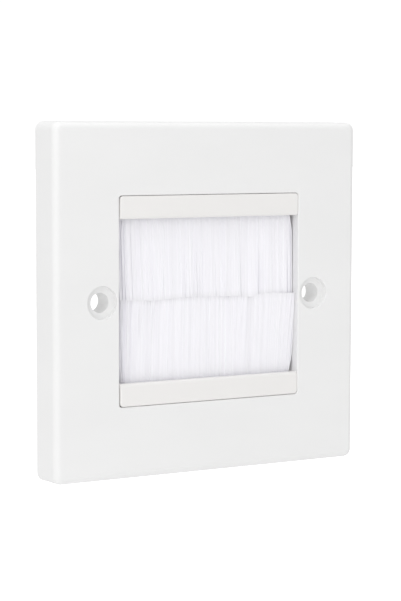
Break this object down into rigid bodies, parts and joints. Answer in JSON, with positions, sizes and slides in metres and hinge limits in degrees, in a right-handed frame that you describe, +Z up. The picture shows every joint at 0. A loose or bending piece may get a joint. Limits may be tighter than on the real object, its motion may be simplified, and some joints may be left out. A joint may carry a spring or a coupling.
{
  "type": "brush wall plate",
  "caption": "Square white wall plate with a brush insert that cables pass through while the bristles close the gap round them.",
  "frame": {"origin": "centre of the plate's back rim, in the plane where it meets the wall", "axes": "+Y into the wall, so the plate faces -Y; +X to the right and +Z up, seen from the room"},
  "size_m": [0.086, 0.0095, 0.086],
  "materials": {
    "plate_plastic": "smooth white moulded plastic with a soft satin gloss",
    "insert_plastic": "smooth white moulded plastic, a touch warmer than the plate",
    "channel_metal": "bare rolled sheet",
    "wire_steel": "drawn wire",
    "bristle_nylon": "fine white filaments with a soft sheen"
  },
  "bodies": {
    "root": {"face_plate": "plate_plastic", "insert_frame": "insert_plastic", "upper_channel": "channel_metal", "lower_channel": "channel_metal", "upper_core_wire": "wire_steel", "lower_core_wire": "wire_steel", "upper_bristles": "bristle_nylon", "lower_bristles": "bristle_nylon"}
  },
  "joints": []
}
